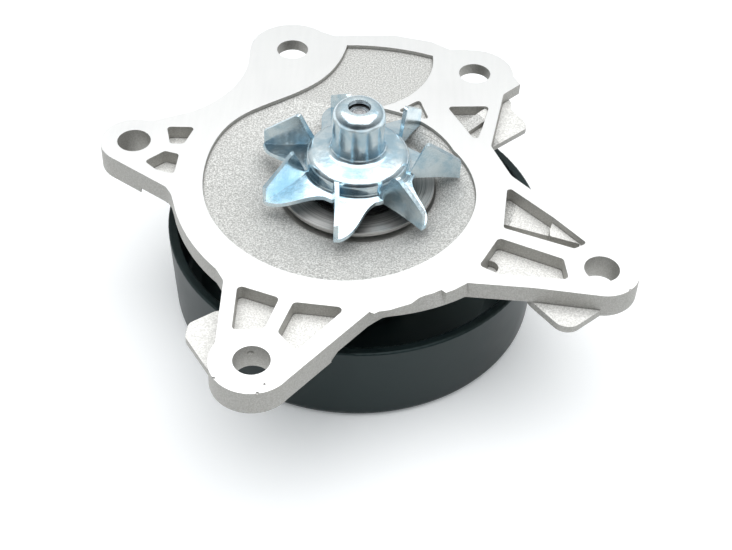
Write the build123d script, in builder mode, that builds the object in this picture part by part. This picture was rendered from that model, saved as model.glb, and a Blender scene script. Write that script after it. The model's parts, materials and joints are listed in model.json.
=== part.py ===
from build123d import *
import math
import os

os.makedirs("parts", exist_ok=True)

# Automotive water pump, millimetres. Z is the shaft axis, with the impeller up.
# Z = 0 is the machined face that bolts to the engine block. The pulley hangs below it.

# flange: a wall layer above, and a floor layer below that also carries the webs
flange_thick = 7.0
wall_depth = 5.0
back_thick = 3.4
ear_step_z = -5.5
pocket_depth = 3.9
skin_z = -1.5
cone_r = 38.0
bolt_r = 4.5
hole_l = (-60.8, 8.5)
hole_t = (-20.8, 52.7)
hole_br = (32.3, 45.1)
hole_r = (62.65, -32.9)
hole_f = (-22.2, -68.6)
boss_radii = {hole_l: 9.0, hole_t: 12.3, hole_br: 11.2, hole_r: 9.6, hole_f: 10.3}
ring_r = 50.6
gate_set_back_r = 46.5
gate_low_r = 50.2
gate_thick = 3.6

# raised seat under the left bolt hole
left_seat_r = 7.0
left_seat_z = -8.2

# volute recess and pump chamber
recess_depth = 1.2
dish_low_r = 20.0
dish_steps = {0.0: -6.3, 0.4: -3.6, 1.0: -recess_depth}
seal_pocket_r = 21.2
seal_pocket_top = -3.0
sweep_r = 27.9
sweep_depth = 1.1

# seal seat, weep chamber and bearing snout
ledge_z = -4.2
seal_bore_r = 17.3
chamber_z = -14.6
bearing_r = 15.0
bearing_top_z = -15.0
bearing_end_z = -34.0
snout_end_z = -34.5
snout_r = 19.5
blowhole_r = 0.75
weep_r = 1.8
weep_z = -12.4
weep_angle = 115.0

# bearing
shaft_r = 8.0
outer_ring_bore_r = 11.3
ball_r = 2.4
pitch_r = 9.65
race_gap = 0.02
ball_count = 9
row_z = {"upper": -20.2, "lower": -28.8}
cage_gap = 0.12
cage_half = 2.9
shield_thick = 1.1
shield_gap = 0.06

# shaft
shaft_end_z = -41.6
shaft_step_z = -13.0
seal_shaft_r = 6.4
nose_shaft_r = 5.7
nose_step_z = 6.2
shaft_top_z = 20.0

# pulley, standing on its foot ring, and the hub pressed on the shaft
pulley_r = 51.1
pulley_low_r = 49.9
pulley_top_z = -16.1
pulley_end_z = -42.0
rim_thick = 2.6
cup_floor_z = -39.4
web_top_z = -38.2
web_low_z = -40.8
foot_ring_r = 43.0
foot_slope_r = 38.2
hub_r = 13.0
hub_flange_r = 19.0
hub_flange_z = -36.6
hub_top_z = -35.4
hub_end_z = -41.4

# impeller
sheet = 1.2
blade_count = 7
blade_tip_r = 27.4
blade_root_r = 15.0
blade_root_z = 2.5
blade_tip_z = 0.4
first_blade_angle = -99.2
blade_turns = [-1.5, -3.0, -3.5, -3.0, -1.0, 0.0, -1.0]
nose_r = 6.9
nose_top_z = 21.8
nose_hole_r = 2.95
vane_peak_r = 18.0
vane_peak_z = 12.1
vane_outer_r = 27.7
vane_outer_z = 4.4


def polar(radius, degrees):
    angle = math.radians(degrees)
    return (radius * math.cos(angle), radius * math.sin(angle))


def nearest(shapes, x, y):
    return min(shapes, key=lambda v: (v.X - x) ** 2 + (v.Y - y) ** 2)


def save(piece, name):
    piece.part.label = name
    export_step(piece.part, f"parts/{name}.step")


# ---------------------------------------------------------------- pump body
# Outline corners, counter-clockwise from the left ear. The bolt bosses are circles joined on.
left_ear_low = [(-65.6, 0.9), (-49.9, -9.6), (-48.2, -12.3), (-47.2, -15.4)]
front_ear = [(-33.6, -39.1), (-31.4, -43.0), (-31.2, -72.5), (-14.4, -75.2), (4.6, -51.6)]
right_ear = [(28.9, -40.0), (45.0, -40.7), (61.4, -42.4), (69.6, -26.3), (46.8, -4.8)]
right_ear += [(41.2, 1.0), (36.1, 13.0)]
back_right_ear = [(40.3, 36.0), (45.3, 41.0), (40.4, 50.2), (30.0, 56.6), (25.5, 55.9)]
outlet_rim = [(20.0, 59.4), (9.0, 61.8), (-8.8, 60.2)]
back_ear = [(-12.6, 62.0), (-28.0, 62.6), (-33.2, 52.0), (-33.0, 46.0)]
left_ear_top = [(-47.5, 21.5), (-56.5, 17.4), (-66.0, 15.8)]

ring_left = polar(ring_r, -145.0)
ring_front = polar(gate_set_back_r, -70.0)
ring_back = polar(ring_r - 1.8, 141.0)

with BuildSketch() as flange_outline:
    with BuildLine():
        start = Polyline(*left_ear_low)
        ThreePointArc(left_ear_low[-1], ring_left, front_ear[0])
        Polyline(*front_ear)
        ThreePointArc(front_ear[-1], ring_front, right_ear[0])
        Polyline(*right_ear, *back_right_ear, *outlet_rim, *back_ear)
        ThreePointArc(back_ear[-1], ring_back, left_ear_top[0])
        Polyline(*left_ear_top, left_ear_low[0])
    make_face()
    for centre, radius in boss_radii.items():
        with Locations(centre):
            Circle(radius)
    for x, y, radius in [(-49.9, -9.6, 3.0), (-48.2, -12.3, 5.0), (-31.4, -43.0, 2.0), (45.0, -40.7, 4.0)]:
        fillet(nearest(flange_outline.vertices(), x, y), radius)
    for x, y, radius in [(36.1, 13.0, 1.5), (40.3, 36.0, 2.0), (20.0, 59.4, 5.0), (46.8, -4.8, 6.0)]:
        fillet(nearest(flange_outline.vertices(), x, y), radius)
    fillet(nearest(flange_outline.vertices(), 41.2, 1.0), 5.0)

# The gate of the casting was broken off the front of the ring, and left a ragged upper edge.
gate_edge = [(4.8, -51.4), (6.0, -51.9), (7.1, -51.1), (9.7, -50.5), (12.1, -49.3), (14.9, -48.0)]
gate_edge += [(16.8, -45.9), (18.4, -44.9), (20.3, -44.1), (22.3, -42.8), (23.4, -43.8), (25.6, -42.5)]
gate_edge += [(28.6, -40.2)]

# The floor layer stops short of the ring's edge here.
rim_left = [(-47.0, -9.0), (-43.5, -20.0), (-36.0, -31.5), (-30.0, -40.0), (-33.0, -47.0)]
rim_left += [(-62.0, -40.0), (-62.0, -14.0)]
rim_front = [(-4.0, -62.0), (2.0, -49.0), (17.0, -43.2), (29.0, -36.6), (46.0, -37.6), (46.0, -60.0)]
rim_back = [(28.0, 3.0), (60.0, 3.0), (60.0, 70.0), (-60.0, 70.0), (-60.0, 33.0), (28.0, 33.0)]
# The back of the flange is thinner, and the front of the left ear is stepped up a little.
thin_back = [(-60.0, 33.0), (60.0, 33.0), (60.0, 70.0), (-60.0, 70.0)]
left_ear_step = [(-57.5, -1.0), (-57.5, -14.0), (-44.0, -14.0), (-44.0, -1.0)]

# Webs at the foot of the ears: corner points, corner radius, top and bottom.
webs = [
    ([(-31.0, -47.3), (-39.0, -53.2), (-39.4, -57.6), (-30.7, -71.0), (-25.0, -60.0)], 2.4,
     -wall_depth, -flange_thick),
    ([(43.0, -38.0), (53.3, -50.5), (64.6, -40.5), (60.0, -34.0), (48.0, -32.0)], 4.1,
     -wall_depth, -flange_thick),
    ([(34.0, 13.9), (46.9, 25.5), (46.0, 29.0), (42.7, 33.5), (42.9, 39.0), (36.0, 37.0)], 1.8,
     -back_thick, -wall_depth),
]

# Cast lightening pockets, open to the mounting face: corner points and corner radius.
front_near = [(-27.8, -44.3), (-17.2, -48.0), (-20.0, -58.2), (-27.8, -59.3)]
front_far = [(-13.7, -49.2), (-0.8, -50.3), (-12.0, -65.0), (-16.8, -59.3)]
right_long = [(40.0, -3.4), (51.6, -14.8), (59.6, -23.8), (56.2, -26.0), (38.4, -19.5)]
right_wide = [(37.0, -23.3), (53.2, -30.0), (54.1, -37.2), (36.5, -36.3), (31.8, -33.7)]
back_right = [(24.2, 29.3), (36.1, 30.3), (34.0, 21.0), (32.2, 14.3)]
tongue_side = [(10.3, 26.4), (16.5, 31.8), (19.3, 22.9)]
left_upper = [(-52.7, 15.0), (-45.0, 15.3), (-47.3, 8.0), (-51.0, 8.0)]
left_lower = [(-56.8, 0.2), (-52.0, 4.8), (-48.0, 3.7), (-48.4, -4.5), (-53.5, -2.8)]
tongue_side_depth = 1.1
plain_pockets = [
    (front_near, 1.2, pocket_depth), (front_far, 1.2, pocket_depth), (right_wide, 1.2, pocket_depth),
    (left_upper, 1.0, pocket_depth), (left_lower, 1.0, pocket_depth), (tongue_side, 0.8, tongue_side_depth),
]

# Two pockets have floors at several depths: the corner points of each floor, cut off by the pocket's wall.
stepped_pockets = [
    (right_long, 0.9, [
        ([(36.0, -1.0), (53.0, -9.0), (50.6, -17.7), (36.0, -13.0)], 3.9),
        ([(53.0, -9.0), (63.0, -20.0), (63.0, -27.0), (57.2, -27.0), (58.0, -22.2), (50.6, -19.8),
          (50.6, -17.7)], 1.9),
        ([(36.0, -13.0), (50.6, -17.7), (50.6, -19.8), (58.0, -22.2), (57.2, -28.0), (36.0, -28.0)], 6.2),
    ]),
    (back_right, 1.0, [
        ([(22.0, 15.7), (37.8, 33.5), (22.0, 36.0)], 3.0),
        ([(22.0, 15.7), (26.0, 15.0), (38.8, 29.2), (37.8, 33.5)], 0.8),
        ([(26.0, 15.0), (30.0, 10.0), (38.0, 12.0), (38.8, 29.2)], 2.2),
    ]),
]
# A round hollow in the floor of the wide pocket.
hollow_centre = (34.7, -30.2)
hollow_r = 2.4
hollow_depth = 5.9

# Small chips in the machined face's edge: place and radius.
chips = [((-30.5, -74.6), 0.45), ((-23.9, -78.9), 0.3), ((-20.0, -78.5), 0.4)]
chips += [((-18.6, -75.7), 0.3), ((69.1, -40.0), 0.35)]

# Volute: radius against angle round the impeller, opening towards the outlet channel.
volute = [(72, 24.2), (40, 25.9), (14, 28.9), (-16, 32.8), (-57, 37.3), (-90, 41.0)]
volute += [(-120, 42.2), (-153, 42.0), (-180, 40.6), (-210, 39.4)]
spiral = [polar(radius, angle) for angle, radius in volute]
outlet_left = [(-20.0, 31.3), (-11.0, 40.0), (-6.0, 51.0)]
outlet_top = [(-5.0, 56.0), (8.0, 55.7), (20.2, 52.7)]
tongue = [(20.0, 46.5), (16.0, 36.5), (9.5, 30.0), (6.5, 28.3)]
tongue_tip = (5.2, 25.6)


with BuildSketch() as volute_face:
    with BuildLine():
        Spline(*spiral, *outlet_left, outlet_top[0])
        ThreePointArc(*outlet_top)
        Spline(outlet_top[2], *tongue)
        ThreePointArc(tongue[-1], tongue_tip, spiral[0])
    make_face()

# The chamber floor rises from the seal pocket's rim to the foot of the recess wall.
mouth = [(105, 30.0), (88, 26.0)]
foot = [(angle, radius - 0.5) for angle, radius in volute + [(-238, 37.0)]]
foot += [(angle - 360, radius) for angle, radius in mouth]
with BuildPart() as chamber:
    for share, height in dish_steps.items():
        with BuildSketch(Plane.XY.offset(height)):
            with BuildLine():
                Spline(*[polar(dish_low_r + share * (r - dish_low_r), a) for a, r in foot], periodic=True)
            make_face()
    loft()

with BuildPart() as gate:
    turns = [math.degrees(math.atan2(y, x)) for x, y in gate_edge]
    inner = [polar(gate_set_back_r - 2.0, turns[-1]), polar(gate_set_back_r - 2.0, turns[0])]
    smooth = [polar(gate_low_r, turn) for turn in turns]
    with BuildSketch(Plane.XY.offset(-gate_thick)):
        Polygon(*smooth, *inner, align=None)
    with BuildSketch(Plane.XY):
        Polygon(*gate_edge, *inner, align=None)
    loft(ruled=True)

with BuildPart() as pump_body:
    with BuildSketch(Plane.XY.offset(-back_thick)):
        add(flange_outline.sketch)
    extrude(amount=back_thick)
    with BuildSketch(Plane.XY.offset(-wall_depth)):
        add(flange_outline.sketch)
        Polygon(*thin_back, align=None, mode=Mode.SUBTRACT)
    extrude(amount=wall_depth - back_thick)
    with BuildSketch(Plane.XY.offset(-flange_thick)):
        add(flange_outline.sketch)
        for cut in (rim_left, rim_front, rim_back):
            Polygon(*cut, align=None, mode=Mode.SUBTRACT)
    extrude(amount=flange_thick - wall_depth)
    with BuildSketch(Plane.XY.offset(ear_step_z)):
        Polygon(*left_ear_step, align=None)
    extrude(amount=-wall_depth, mode=Mode.SUBTRACT)
    for web, corner_r, top, bottom in webs:
        with BuildSketch(Plane.XY.offset(bottom)) as web_face:
            Polygon(*web, align=None)
            fillet(web_face.vertices(), corner_r)
        extrude(amount=top - bottom)
    with BuildSketch(Plane.XY.offset(left_seat_z)):
        with Locations(hole_l):
            Circle(left_seat_r)
    extrude(amount=-left_seat_z)
    add(gate.part)
    # underside cone and bearing snout
    with BuildSketch(Plane.XZ):
        with BuildLine():
            Polyline(
                (0, skin_z), (cone_r, skin_z), (cone_r, -wall_depth), (29.0, -9.6), (23.4, -12.4),
                (21.9, -17.0), (snout_r, snout_end_z), (0, snout_end_z), close=True,
            )
        make_face()
    revolve(axis=Axis.Z)
    # ribs from the snout to the bolt bosses
    for centre in boss_radii:
        turn = math.degrees(math.atan2(centre[1], centre[0]))
        reach = math.hypot(*centre) - 8.0
        with BuildSketch(Plane.XZ.rotated((0, 0, turn))):
            Polygon((20.0, -3.0), (reach, -3.0), (reach, -7.6), (21.0, -14.0), align=None)
        extrude(amount=2.0, both=True)
    # volute recess, dished floor and machined bores
    with BuildSketch(Plane.XY):
        add(volute_face.sketch)
    extrude(amount=-recess_depth, mode=Mode.SUBTRACT)
    add(chamber.part, mode=Mode.SUBTRACT)
    for radius, top, bottom in [
        (sweep_r, 0.0, -sweep_depth),
        (seal_pocket_r, seal_pocket_top, ledge_z),
        (seal_bore_r, ledge_z, chamber_z),
        (bearing_r, chamber_z, snout_end_z),
    ]:
        with BuildSketch(Plane.XY.offset(top)):
            Circle(radius)
        extrude(amount=bottom - top, mode=Mode.SUBTRACT)
    # lightening pockets
    for corners, corner_r, depth in plain_pockets:
        with BuildSketch(Plane.XY) as pocket:
            Polygon(*corners, align=None)
            fillet(pocket.vertices(), corner_r)
        extrude(amount=-depth, mode=Mode.SUBTRACT)
    for corners, corner_r, floors in stepped_pockets:
        for floor, depth in floors:
            with BuildSketch(Plane.XY) as pocket:
                Polygon(*corners, align=None)
                fillet(pocket.vertices(), corner_r)
                Polygon(*floor, align=None, mode=Mode.INTERSECT)
            extrude(amount=-depth, mode=Mode.SUBTRACT)
    with BuildSketch(Plane.XY) as hollow:
        Polygon(*right_wide, align=None)
        with Locations(hollow_centre):
            Circle(hollow_r, mode=Mode.INTERSECT)
    extrude(amount=-hollow_depth, mode=Mode.SUBTRACT)
    for centre, radius in chips:
        with Locations(centre):
            Sphere(radius, mode=Mode.SUBTRACT)
    # bolt holes
    with BuildSketch(Plane.XY):
        with Locations(*boss_radii):
            Circle(bolt_r)
    extrude(amount=-3 * flange_thick, mode=Mode.SUBTRACT)
    # a blowhole left by the casting, in the wall of the front bolt hole
    with Locations((hole_f[0] - 0.7, hole_f[1] + bolt_r, -2.4)):
        Sphere(blowhole_r, mode=Mode.SUBTRACT)
    # weep hole, from the chamber below the seal out through the snout
    with BuildSketch(Plane.YZ.rotated((0, 0, weep_angle))):
        with Locations((0, weep_z)):
            Circle(weep_r)
    extrude(amount=60.0, mode=Mode.SUBTRACT)

save(pump_body, "pump_body")

# ---------------------------------------------------------------- bearing, pressed into the snout
with BuildPart() as bearing_outer_ring:
    with BuildSketch(Plane.XY.offset(bearing_end_z)):
        Circle(bearing_r)
        Circle(outer_ring_bore_r, mode=Mode.SUBTRACT)
    extrude(amount=bearing_top_z - bearing_end_z)
    for height in row_z.values():
        with Locations((0, 0, height)):
            Torus(pitch_r, ball_r + race_gap, mode=Mode.SUBTRACT)
    chamfer(bearing_outer_ring.edges().filter_by(GeomType.CIRCLE).sort_by(Axis.Z)[0], 0.4)
save(bearing_outer_ring, "bearing_outer_ring")

shield_tops = {"upper": bearing_top_z - 0.3, "lower": bearing_end_z + 0.3 + shield_thick}
for row, top in shield_tops.items():
    with BuildPart() as bearing_shield:
        with BuildSketch(Plane.XY.offset(top - shield_thick)):
            Circle(outer_ring_bore_r)
            Circle(shaft_r + shield_gap, mode=Mode.SUBTRACT)
        extrude(amount=shield_thick)
    save(bearing_shield, f"{row}_bearing_seal")

for row, height in row_z.items():
    with BuildPart() as balls:
        with Locations((0, 0, height)):
            with PolarLocations(pitch_r, ball_count):
                Sphere(ball_r)
    save(balls, f"{row}_balls")

    with BuildPart() as cage:
        with BuildSketch(Plane.XY.offset(height - cage_half)):
            Circle(outer_ring_bore_r - 0.35)
            Circle(shaft_r + 0.35, mode=Mode.SUBTRACT)
        extrude(amount=2 * cage_half)
        with Locations((0, 0, height)):
            with PolarLocations(pitch_r, ball_count):
                Cylinder(ball_r + cage_gap, 6.0, rotation=(0, 90, 0), mode=Mode.SUBTRACT)
    save(cage, f"{row}_cage")

# ---------------------------------------------------------------- shaft, with both inner races ground in it
with BuildPart() as shaft:
    for radius, bottom, top in [
        (shaft_r, shaft_end_z, shaft_step_z),
        (seal_shaft_r, shaft_step_z, nose_step_z),
        (nose_shaft_r, nose_step_z, shaft_top_z),
    ]:
        with BuildSketch(Plane.XY.offset(bottom)):
            Circle(radius)
        extrude(amount=top - bottom)
    for height in row_z.values():
        with Locations((0, 0, height)):
            Torus(pitch_r, ball_r + race_gap, mode=Mode.SUBTRACT)
    rims = shaft.edges().filter_by(GeomType.CIRCLE).sort_by(Axis.Z)
    chamfer([rims[0], rims[-1]], 0.5)
save(shaft, "shaft")

# ---------------------------------------------------------------- mechanical seal, rings turned about Z
seal_rings = {
    "seal_cup": [(9.4, -12.0), (17.3, -12.0), (17.3, -4.2), (20.85, -4.2), (20.85, -3.1), (14.6, -3.1),
                 (14.6, -4.2), (16.4, -4.2), (16.4, -11.2), (10.2, -11.2), (10.2, -8.6), (9.4, -8.6)],
    "seal_bellows": [(10.2, -11.2), (16.4, -11.2), (16.4, -10.2), (11.3, -10.2), (11.3, -4.6),
                     (13.6, -4.6), (13.6, -3.0), (12.5, -3.0), (12.5, -3.6), (10.2, -3.6)],
    "seal_retainer": [(11.4, -5.3), (14.3, -5.3), (14.3, -3.6), (13.6, -3.6), (13.6, -4.6), (11.4, -4.6)],
    "carbon_ring": [(9.0, -3.6), (12.5, -3.6), (12.5, -1.1), (11.6, -0.9), (11.6, -0.63), (9.6, -0.63),
                    (9.6, -0.9), (9.0, -1.1)],
    "ceramic_seat": [(7.6, -0.6), (11.9, -0.6), (11.9, 3.5), (7.6, 3.5)],
    "seat_boot": [(6.4, -0.3), (7.6, -0.3), (7.6, 3.5), (11.9, 3.5), (11.9, 4.7), (6.4, 4.7)],
    "slinger": [(8.0, -14.2), (13.2, -14.2), (13.6, -13.4), (8.0, -13.4)],
}
for name, section in seal_rings.items():
    with BuildPart() as ring:
        with BuildSketch(Plane.XZ):
            Polygon(*section, align=None)
        revolve(axis=Axis.Z)
    save(ring, name)

spring_wire_r = 0.65
spring_r = 12.95
spring_low_z = -9.5
spring_pitch = 1.75
with BuildPart() as seal_spring:
    with BuildLine(Plane.XY.offset(spring_low_z)) as coil:
        Helix(pitch=spring_pitch, height=2 * spring_pitch, radius=spring_r)
    with BuildSketch(Plane(origin=coil.line @ 0, z_dir=coil.line % 0)):
        Circle(spring_wire_r)
    sweep(path=coil.line, is_frenet=True)
save(seal_spring, "seal_spring")

# ---------------------------------------------------------------- impeller, one pressing
blade_slope = (blade_tip_z - blade_root_z) / (blade_tip_r - blade_root_r)
rim_r = 29.0
rim_z = blade_root_z + blade_slope * (rim_r - blade_root_r)
cup_r = 13.7
cup_top_z = 7.2
shoulder_z = 8.3

with BuildSketch(Plane.XZ) as pressing:
    with BuildLine():
        Polyline(
            (nose_hole_r, nose_top_z), (nose_r, nose_top_z), (nose_r, shoulder_z), (cup_r, cup_top_z),
            (cup_r + 0.1, 2.9), (blade_root_r + 0.2, blade_root_z), (rim_r, rim_z),
            (rim_r, rim_z - sheet), (blade_root_r - 0.2, blade_root_z - sheet), (cup_r - sheet, 1.7),
            (cup_r - sheet, cup_top_z - sheet), (nose_shaft_r + 0.1, shoulder_z - sheet),
            (nose_shaft_r, nose_top_z - sheet), (nose_hole_r, nose_top_z - sheet), close=True,
        )
    make_face()
    for x, y, radius in [
        (nose_r, nose_top_z, 3.2), (nose_r, shoulder_z, 1.7), (cup_r, cup_top_z, 2.2),
        (nose_shaft_r, nose_top_z - sheet, 1.2), (nose_shaft_r + 0.1, shoulder_z - sheet, 0.5),
        (cup_r - sheet, cup_top_z - sheet, 1.0), (cup_r + 0.1, 2.9, 1.2), (cup_r - sheet, 1.7, 0.4),
    ]:
        fillet(nearest(pressing.vertices(), x, y), radius)

blade_angles = [first_blade_angle + k * 360 / blade_count + turn for k, turn in enumerate(blade_turns)]
# Each blade: a straight-sided fold on its clockwise edge and a hollow trailing edge (radius, angle).
fold = [polar(14.6, -14.2), polar(21.8, -3.0), polar(blade_tip_r, 0)]
trailing = [polar(27.2, 3.4), polar(24.0, 10.4), polar(19.4, 17.0), polar(16.9, 23.0), polar(15.4, 33.0)]
vane_shift = (-0.27 * sheet, 0.963 * sheet)
fold_inner = [(x + vane_shift[0], y + vane_shift[1]) for x, y in fold]

with BuildPart() as vanes:
    for angle in blade_angles:
        with BuildSketch(Plane.XY.offset(-2.0).rotated((0, 0, angle))):
            with BuildLine():
                ThreePointArc(*fold)
                Line(fold[2], fold_inner[2])
                ThreePointArc(*fold_inner)
                Line(fold_inner[0], fold[0])
            make_face()
        extrude(amount=16.0)
    with BuildSketch(Plane.XZ) as vane_side:
        Polygon(
            (blade_root_r - 1.1, 2.2), (vane_peak_r, vane_peak_z), (vane_outer_r, vane_outer_z),
            (blade_tip_r + 0.2, blade_tip_z - sheet + 0.1), (blade_root_r, blade_root_z - sheet),
            align=None,
        )
        fillet(nearest(vane_side.vertices(), vane_peak_r, vane_peak_z), 0.9)
        fillet(nearest(vane_side.vertices(), vane_outer_r, vane_outer_z), 0.9)
    revolve(axis=Axis.Z, mode=Mode.INTERSECT)

with BuildPart() as impeller:
    with BuildSketch(Plane.XY.offset(-3.0)):
        Circle(blade_root_r + 0.6)
        Circle(nose_hole_r, mode=Mode.SUBTRACT)
        for angle in blade_angles:
            with BuildSketch(Plane.XY.offset(-3.0).rotated((0, 0, angle)), mode=Mode.PRIVATE) as blade:
                with BuildLine():
                    ThreePointArc(*fold)
                    Line(fold[2], trailing[0])
                    Spline(*trailing)
                    Polyline(trailing[-1], polar(12.0, 10.0), fold[0])
                make_face()
            add(blade.sketch_local, rotation=angle)
    extrude(amount=26.0)
    with BuildSketch(Plane.XZ):
        add(pressing.sketch_local)
    revolve(axis=Axis.Z, mode=Mode.INTERSECT)
    add(vanes.part)
save(impeller, "impeller")

# ---------------------------------------------------------------- pulley and its hub
with BuildPart() as pulley:
    with BuildSketch(Plane.XZ) as cup:
        Polygon(
            (pulley_r, pulley_top_z), (pulley_low_r, pulley_end_z), (foot_ring_r, pulley_end_z),
            (foot_slope_r, web_low_z), (hub_r, web_low_z), (hub_r, web_top_z), (foot_slope_r, web_top_z),
            (foot_ring_r, cup_floor_z), (pulley_low_r - rim_thick, cup_floor_z),
            (pulley_r - rim_thick, pulley_top_z), align=None,
        )
        for x, y, radius in [
            (pulley_low_r, pulley_end_z, 2.4), (pulley_low_r - rim_thick, cup_floor_z, 1.4),
            (pulley_r, pulley_top_z, 0.5), (pulley_r - rim_thick, pulley_top_z, 0.4),
        ]:
            fillet(nearest(cup.vertices(), x, y), radius)
    revolve(axis=Axis.Z)
save(pulley, "pulley")

with BuildPart() as pulley_hub:
    with BuildSketch(Plane.XZ):
        Polygon(
            (shaft_r, hub_end_z), (hub_r, hub_end_z), (hub_r, web_top_z), (hub_flange_r, web_top_z),
            (hub_flange_r, hub_flange_z), (hub_r, hub_flange_z), (hub_r, hub_top_z), (shaft_r, hub_top_z),
            align=None,
        )
    revolve(axis=Axis.Z)
save(pulley_hub, "pulley_hub")
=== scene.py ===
import json
import math

import bpy
from mathutils import Matrix, Vector


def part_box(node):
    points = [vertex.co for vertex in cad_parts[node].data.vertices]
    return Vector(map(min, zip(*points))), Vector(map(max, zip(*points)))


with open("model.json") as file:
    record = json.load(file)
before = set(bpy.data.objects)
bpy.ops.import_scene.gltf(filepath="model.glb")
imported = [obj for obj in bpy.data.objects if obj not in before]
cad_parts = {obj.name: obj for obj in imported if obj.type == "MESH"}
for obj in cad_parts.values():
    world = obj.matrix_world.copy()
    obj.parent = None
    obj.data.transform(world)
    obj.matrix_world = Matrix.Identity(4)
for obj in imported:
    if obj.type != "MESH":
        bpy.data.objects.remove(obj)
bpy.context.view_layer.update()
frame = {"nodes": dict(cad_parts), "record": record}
nodes = frame["nodes"]
scene = bpy.context.scene

MM = 0.001

# ---------------------------------------------------------------- camera
CAMERA_PLACE = Vector((0.0036, -0.2932, 0.2554))
CAMERA_ELEVATION = math.radians(45.12)
CAMERA_ROLL = math.radians(2.59)
CAMERA_LENS_MM = 71.54
CAMERA_SENSOR_MM = 36.0
CAMERA_NEAR = 0.01


def add_camera():
    """Looks along +Y and down, rolled a little about its own line of sight."""
    data = bpy.data.cameras.new("camera")
    data.lens = CAMERA_LENS_MM
    data.sensor_width = CAMERA_SENSOR_MM
    data.clip_start = CAMERA_NEAR
    camera = bpy.data.objects.new("camera", data)
    scene.collection.objects.link(camera)
    right = Vector((1, 0, 0))
    up = Vector((0, math.sin(CAMERA_ELEVATION), math.cos(CAMERA_ELEVATION)))
    back = Vector((0, -math.cos(CAMERA_ELEVATION), math.sin(CAMERA_ELEVATION)))
    cam_x = math.cos(CAMERA_ROLL) * right + math.sin(CAMERA_ROLL) * up
    cam_y = -math.sin(CAMERA_ROLL) * right + math.cos(CAMERA_ROLL) * up
    turn = Matrix((cam_x, cam_y, back)).transposed()
    camera.matrix_world = Matrix.Translation(CAMERA_PLACE) @ turn.to_4x4()
    scene.camera = camera


# ---------------------------------------------------------------- node helpers
# Where a Mix node keeps its sockets for colours and for numbers.
MIX_FACTOR = 0
MIX_COLOUR_A, MIX_COLOUR_B, MIX_COLOUR_OUT = 6, 7, 2
MIX_NUMBER_A, MIX_NUMBER_B, MIX_NUMBER_OUT = 2, 3, 0


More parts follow.
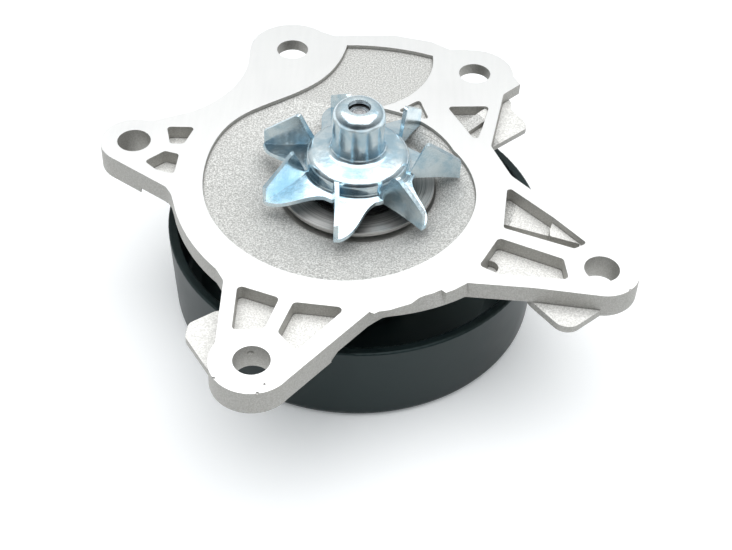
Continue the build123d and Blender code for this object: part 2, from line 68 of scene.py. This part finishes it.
class Graph:
    """A material's node tree, with short calls for the few nodes used here.

    Lengths are in metres, and the scale of a noise is per metre.
    """

    def __init__(self, name):
        self.mat = bpy.data.materials.new(name)
        self.mat.use_nodes = True
        self.tree = self.mat.node_tree
        self.shader = self.tree.nodes["Principled BSDF"]
        self.coord = self.tree.nodes.new("ShaderNodeTexCoord")
        self.place = self.coord.outputs["Object"]

    def link(self, source, socket):
        """Sets a number, vector or colour on the socket, or joins another node's output to it."""
        if isinstance(source, (int, float)):
            socket.default_value = source
        elif isinstance(source, tuple):
            fits = len(source) == len(socket.default_value)
            socket.default_value = source if fits else (*source, 1.0)
        else:
            self.tree.links.new(source, socket)

    def node(self, kind, out, settings=None, **inputs):
        made = self.tree.nodes.new(kind)
        for key, value in (settings or {}).items():
            setattr(made, key, value)
        for key, value in inputs.items():
            self.link(value, made.inputs[key.replace("_", " ")])
        return made.outputs[out]

    def math(self, operation, a, b=0.0):
        made = self.tree.nodes.new("ShaderNodeMath")
        made.operation = operation
        self.link(a, made.inputs[0])
        self.link(b, made.inputs[1])
        return made.outputs[0]

    def add(self, a, b):
        return self.math("ADD", a, b)

    def times(self, a, b):
        return self.math("MULTIPLY", a, b)

    def above(self, value, limit):
        return self.math("GREATER_THAN", value, limit)

    def below(self, value, limit):
        return self.math("LESS_THAN", value, limit)

    def either(self, a, b):
        return self.math("MAXIMUM", a, b)

    def split(self, vector):
        made = self.tree.nodes.new("ShaderNodeSeparateXYZ")
        self.link(vector, made.inputs[0])
        return made.outputs

    def axis_radius(self):
        """The distance from the shaft's axis."""
        x, y, _ = self.split(self.place)
        return self.math("SQRT", self.add(self.times(x, x), self.times(y, y)))

    def noise(self, scale, detail=2.0, rough=0.5, place=None):
        return self.node("ShaderNodeTexNoise", "Fac", Vector=place or self.place, Scale=scale,
                         Detail=detail, Roughness=rough)

    def streaks(self, scales, detail=2.0):
        """Noise with a scale for each axis, drawn out along the ones where it is small."""
        place = self.node("ShaderNodeMapping", "Vector", Vector=self.place, Scale=scales)
        return self.noise(1.0, detail, place=place)

    def rings(self, radius, scale):
        """Noise that only changes with the radius, as the marks of a lathe do."""
        return self.node("ShaderNodeTexNoise", "Fac", {"noise_dimensions": "1D"},
                         W=self.times(radius, scale), Scale=1.0, Detail=1.0)

    def cells(self, scale):
        return self.node("ShaderNodeTexVoronoi", "Distance", Vector=self.place, Scale=scale)

    def fit(self, value, low, high, to_low=0.0, to_high=1.0):
        made = self.tree.nodes.new("ShaderNodeMapRange")
        for socket, source in zip(made.inputs, (value, low, high, to_low, to_high)):
            self.link(source, socket)
        return made.outputs[0]

    def mix(self, factor, a, b):
        """Mixes two colours."""
        made = self.tree.nodes.new("ShaderNodeMix")
        made.data_type = "RGBA"
        self.link(factor, made.inputs[MIX_FACTOR])
        self.link(a, made.inputs[MIX_COLOUR_A])
        self.link(b, made.inputs[MIX_COLOUR_B])
        return made.outputs[MIX_COLOUR_OUT]

    def blend(self, factor, a, b):
        """Mixes two numbers."""
        made = self.tree.nodes.new("ShaderNodeMix")
        self.link(factor, made.inputs[MIX_FACTOR])
        self.link(a, made.inputs[MIX_NUMBER_A])
        self.link(b, made.inputs[MIX_NUMBER_B])
        return made.outputs[MIX_NUMBER_OUT]

    def bump(self, height, distance, strength, normal):
        return self.node("ShaderNodeBump", "Normal", Height=height, Distance=distance,
                         Strength=strength, Normal=normal)

    # Occlusion close to each point, used to paint shade into creases.
    def crease_shade(self, distance):
        settings = {"samples": 6, "only_local": True}
        return self.node("ShaderNodeAmbientOcclusion", "AO", settings, Distance=distance)

    def soft_edges(self, radius):
        return self.node("ShaderNodeBevel", "Normal", {"samples": 4}, Radius=radius)

    def finish(self, **inputs):
        for key, value in inputs.items():
            self.link(value, self.shader.inputs[key.replace("_", " ")])
        return self.mat


# ---------------------------------------------------------------- materials
# Places on the body that tell its machined faces from its cast skin.
MACHINED_Z = -0.05 * MM
SEAL_POCKET_R = 21.35 * MM
SEAL_POCKET_Z = -2.95 * MM
RECESS_R = 43.0 * MM
RECESS_Z = -1.2 * MM
RECESS_Z_SPAN = 0.05 * MM

# How far up a normal points on a face that counts as level, or as more level than not.
LEVEL = 0.8
MOSTLY_LEVEL = 0.5


def cast_body():
    """Cast skin, a blasted recess, a milled face and a turned seal bore, with painted shade on
    the upright walls and in the creases.
    """
    skin_dark, skin_light = (0.68, 0.675, 0.65), (0.96, 0.955, 0.93)
    blasted_dark, blasted_light = (0.36, 0.36, 0.345), (0.78, 0.78, 0.76)
    # Darker copies of the cast colour for the upright walls: painted shade.
    wall_shade_dark, wall_shade_light = (0.39, 0.38, 0.355), (0.50, 0.495, 0.47)
    # The second colour on the next line is painted shade for creases; the first is a stain.
    cast_stain, crease_shade_colour = (0.60, 0.60, 0.58), (0.20, 0.195, 0.18)
    face_dark, face_light = (0.90, 0.905, 0.90), (0.97, 0.97, 0.965)
    face_stain = (0.84, 0.855, 0.845)
    bore_dark, bore_light = (0.50, 0.50, 0.49), (0.74, 0.74, 0.72)

    g = Graph("cast_aluminium")
    z = g.split(g.place)[2]
    up = g.split(g.coord.outputs["Normal"])[2]
    radius = g.axis_radius()
    on_face = g.times(g.above(z, MACHINED_Z), g.above(up, LEVEL))
    in_bore = g.times(g.below(radius, SEAL_POCKET_R), g.below(z, SEAL_POCKET_Z))
    machined = g.either(on_face, in_bore)
    floor_gap = g.math("ABSOLUTE", g.math("SUBTRACT", z, RECESS_Z))
    near_recess = g.either(g.below(radius, RECESS_R), g.below(floor_gap, RECESS_Z_SPAN))
    in_recess = g.times(near_recess, g.above(up, MOSTLY_LEVEL))

    grain = g.noise(2500.0, detail=3.0, rough=0.65)
    dimples = g.cells(1700.0)
    cloud = g.noise(45.0, detail=3.0, rough=0.55)
    speck = g.fit(grain, 0.42, 0.60)
    skin = g.mix(speck, skin_dark, skin_light)
    blasted = g.mix(speck, blasted_dark, blasted_light)
    side = g.mix(speck, wall_shade_dark, wall_shade_light)
    cast = g.mix(in_recess, skin, blasted)
    cast = g.mix(g.fit(cloud, 0.35, 0.7, to_high=0.25), cast, cast_stain)
    # Upright faces take the darker wall colour: painted shade, as though less light reached them.
    cast = g.mix(g.fit(g.math("ABSOLUTE", up), 0.35, 0.75), side, cast)
    # Painted shade: the colour darkens where occlusion finds a crease or the foot of a wall.
    cast = g.mix(g.fit(g.crease_shade(0.45 * MM), 0.5, 0.85), crease_shade_colour, cast)

    milling = g.streaks((700.0, 60.0, 60.0))
    face = g.mix(milling, face_dark, face_light)
    face = g.mix(g.fit(cloud, 0.45, 0.7, to_high=0.5), face, face_stain)
    turning = g.rings(radius, 2600.0)
    bore = g.mix(turning, bore_dark, bore_light)
    base = g.mix(machined, cast, g.mix(in_bore, face, bore))

    height_cast = g.add(g.times(grain, 0.6), g.times(dimples, 0.4))
    height_machined = g.times(g.blend(in_bore, milling, turning), g.blend(in_bore, 0.02, 0.25))
    height = g.blend(machined, height_cast, height_machined)
    normal = g.bump(height, 0.14 * MM, 0.8, g.soft_edges(0.15 * MM))
    rough_cast = g.fit(grain, 0.3, 0.7, 0.46, 0.62)
    rough_machined = g.fit(cloud, 0.3, 0.7, 0.30, 0.38)
    return g.finish(Base_Color=base, Metallic=g.blend(machined, 0.35, 0.9),
                    Roughness=g.blend(machined, rough_cast, rough_machined), Normal=normal)


def zinc_plate():
    """Bright zinc: bluish patches, dents left by the press and streaks up the drawn walls."""
    bluish, pale = (0.48, 0.65, 0.75), (0.75, 0.85, 0.89)
    g = Graph("zinc_plate")
    cloud = g.noise(160.0, detail=3.0, rough=0.6)
    drawn = g.streaks((900.0, 900.0, 45.0), detail=3.0)
    fine = g.noise(2600.0)
    dents = g.add(cloud, g.times(drawn, 0.06))
    normal = g.bump(dents, 0.40 * MM, 0.35, g.soft_edges(0.12 * MM))
    normal = g.bump(fine, 0.01 * MM, 0.4, normal)
    return g.finish(Base_Color=g.mix(g.fit(cloud, 0.38, 0.62), bluish, pale), Metallic=1.0,
                    Roughness=g.fit(drawn, 0.3, 0.7, 0.17, 0.27), Normal=normal)


def black_coat():
    """The pulley's paint, with a faint orange peel."""
    dark, light, sheen = (0.001, 0.005, 0.006), (0.004, 0.010, 0.011), (0.78, 1.0, 1.0)
    g = Graph("black_coat")
    peel = g.noise(700.0)
    cloud = g.noise(35.0, detail=3.0, rough=0.6)
    normal = g.bump(peel, 0.02 * MM, 0.4, g.soft_edges(0.3 * MM))
    return g.finish(Base_Color=g.mix(g.fit(cloud, 0.35, 0.7), dark, light), Metallic=0.0,
                    Roughness=g.fit(cloud, 0.3, 0.7, 0.34, 0.44), Normal=normal,
                    Specular_IOR_Level=0.38, Specular_Tint=sheen)


def ground_steel(name, dark, light, rough_low, rough_high):
    """Steel with rings on its end faces and bands round its sides."""
    g = Graph(name)
    rings = g.rings(g.axis_radius(), 3000.0)
    bands = g.streaks((60.0, 60.0, 2600.0))
    mark = g.fit(g.times(g.add(rings, bands), 0.5), 0.35, 0.65)
    normal = g.bump(mark, 0.03 * MM, 0.6, g.soft_edges(0.15 * MM))
    return g.finish(Base_Color=g.mix(mark, dark, light), Metallic=1.0,
                    Roughness=g.fit(mark, 0.3, 0.7, rough_low, rough_high), Normal=normal)


def dull(name, dark, light, rough, scale, depth):
    """A plain material that isn't metal, with one grain in its colour, gloss and surface."""
    rough_span = 0.12
    g = Graph(name)
    grain = g.noise(scale, detail=3.0, rough=0.6)
    normal = g.bump(grain, depth, 0.6, g.soft_edges(0.2 * MM))
    return g.finish(Base_Color=g.mix(g.fit(grain, 0.3, 0.7), dark, light),
                    Roughness=g.fit(grain, 0.3, 0.7, rough, rough + rough_span), Normal=normal)


def paint_nodes():
    finishes = {
        "cast_aluminium": cast_body(),
        "zinc_plate": zinc_plate(),
        "black_coat": black_coat(),
        "bearing_steel": ground_steel("bearing_steel", (0.42, 0.42, 0.43), (0.66, 0.66, 0.67),
                                      rough_low=0.20, rough_high=0.34),
        "stainless": ground_steel("stainless", (0.26, 0.26, 0.25), (0.66, 0.655, 0.64),
                                  rough_low=0.42, rough_high=0.55),
        "black_rubber": dull("black_rubber", (0.010, 0.010, 0.010), (0.030, 0.030, 0.030),
                             rough=0.62, scale=900.0, depth=0.05 * MM),
        "carbon": dull("carbon", (0.015, 0.015, 0.017), (0.05, 0.05, 0.055),
                       rough=0.35, scale=1600.0, depth=0.01 * MM),
        # Near-black: the seat's own dark silicon carbide colour, and also painted shade for the
        # shadow under the impeller's cup.
        "ceramic": dull("ceramic", (0.020, 0.020, 0.021), (0.045, 0.045, 0.047),
                        rough=0.30, scale=1200.0, depth=0.005 * MM),
        "cage_nylon": dull("cage_nylon", (0.55, 0.51, 0.38), (0.68, 0.64, 0.50),
                           rough=0.45, scale=600.0, depth=0.03 * MM),
    }
    for entry in frame["record"]["subparts"]:
        mesh = nodes[entry["node"]].data
        mesh.materials.clear()
        mesh.materials.append(finishes[entry["material_slot"]])


# ---------------------------------------------------------------- light and floor
CEILING_PLACE = (0.04, 0.0, 0.75)
CEILING_AIM = (0.04, 0.0, 0.0)
CEILING_SIZE = (1.3, 1.1)
CEILING_POWER = 7.9

# The studio's colours from straight down to straight up, and from behind the viewer to the
# back wall. The two are multiplied.
BY_HEIGHT = [(0.0, (0.40, 0.40, 0.40)), (0.50, (0.42, 0.44, 0.45)), (0.66, (0.66, 0.68, 0.69)),
             (0.80, (0.74, 0.755, 0.75)), (0.88, (1.0, 1.0, 1.0)), (1.0, (1.0, 1.0, 1.0))]
BY_DEPTH = [(0.0, (0.06, 0.065, 0.07)), (0.40, (0.40, 0.42, 0.44)), (0.75, (1.0, 1.0, 1.0)),
            (1.0, (1.0, 1.0, 1.0))]

FLOOR_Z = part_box("pulley")[0][2]
FLOOR_SIZE = 6


def add_ceiling():
    data = bpy.data.lights.new("ceiling", "AREA")
    data.shape = "RECTANGLE"
    data.size, data.size_y = CEILING_SIZE
    data.energy = CEILING_POWER
    light = bpy.data.objects.new("ceiling", data)
    scene.collection.objects.link(light)
    light.location = CEILING_PLACE
    beam = Vector(CEILING_AIM) - Vector(CEILING_PLACE)
    light.rotation_euler = beam.to_track_quat("-Z", "Y").to_euler()


def add_world():
    """A studio with a bright ceiling and back wall, and a greyer side where the viewer stands."""
    world = bpy.data.worlds.new("studio")
    world.use_nodes = True
    tree = world.node_tree
    coord = tree.nodes.new("ShaderNodeTexCoord")
    split = tree.nodes.new("ShaderNodeSeparateXYZ")
    tree.links.new(coord.outputs["Generated"], split.inputs[0])

    def ramp(part, stops):
        """A colour ramp over one part of the direction, which runs from -1 to 1."""
        spread = tree.nodes.new("ShaderNodeMapRange")
        spread.inputs["From Min"].default_value = -1.0
        tree.links.new(part, spread.inputs["Value"])
        made = tree.nodes.new("ShaderNodeValToRGB")
        first, last = made.color_ramp.elements
        first.position, last.position = stops[0][0], stops[-1][0]
        first.color, last.color = (*stops[0][1], 1.0), (*stops[-1][1], 1.0)
        for position, colour in stops[1:-1]:
            made.color_ramp.elements.new(position).color = (*colour, 1.0)
        tree.links.new(spread.outputs[0], made.inputs[0])
        return made.outputs[0]

    both = tree.nodes.new("ShaderNodeMix")
    both.data_type = "RGBA"
    both.blend_type = "MULTIPLY"
    both.inputs[MIX_FACTOR].default_value = 1.0
    _, depth, height = split.outputs
    tree.links.new(ramp(height, BY_HEIGHT), both.inputs[MIX_COLOUR_A])
    tree.links.new(ramp(depth, BY_DEPTH), both.inputs[MIX_COLOUR_B])
    background = tree.nodes["Background"].inputs
    tree.links.new(both.outputs[MIX_COLOUR_OUT], background["Color"])
    background["Strength"].default_value = 1.0
    scene.world = world


def add_floor():
    """A pale floor at the height that the pulley stands on, with a faint glow of its own."""
    dark, light, glow = (0.86, 0.87, 0.875), (0.89, 0.895, 0.90), (0.94, 0.98, 1.0)
    bpy.ops.mesh.primitive_plane_add(size=FLOOR_SIZE, location=(0, 0, FLOOR_Z))
    floor = bpy.context.object
    floor.name = "floor"
    g = Graph("floor_white")
    white = g.finish(Base_Color=g.mix(g.noise(40.0), dark, light), Roughness=0.7,
                     Emission_Color=glow, Emission_Strength=0.20)
    floor.data.materials.append(white)


add_camera()
paint_nodes()
add_world()
add_floor()
add_ceiling()
scene.view_settings.view_transform = "Standard"
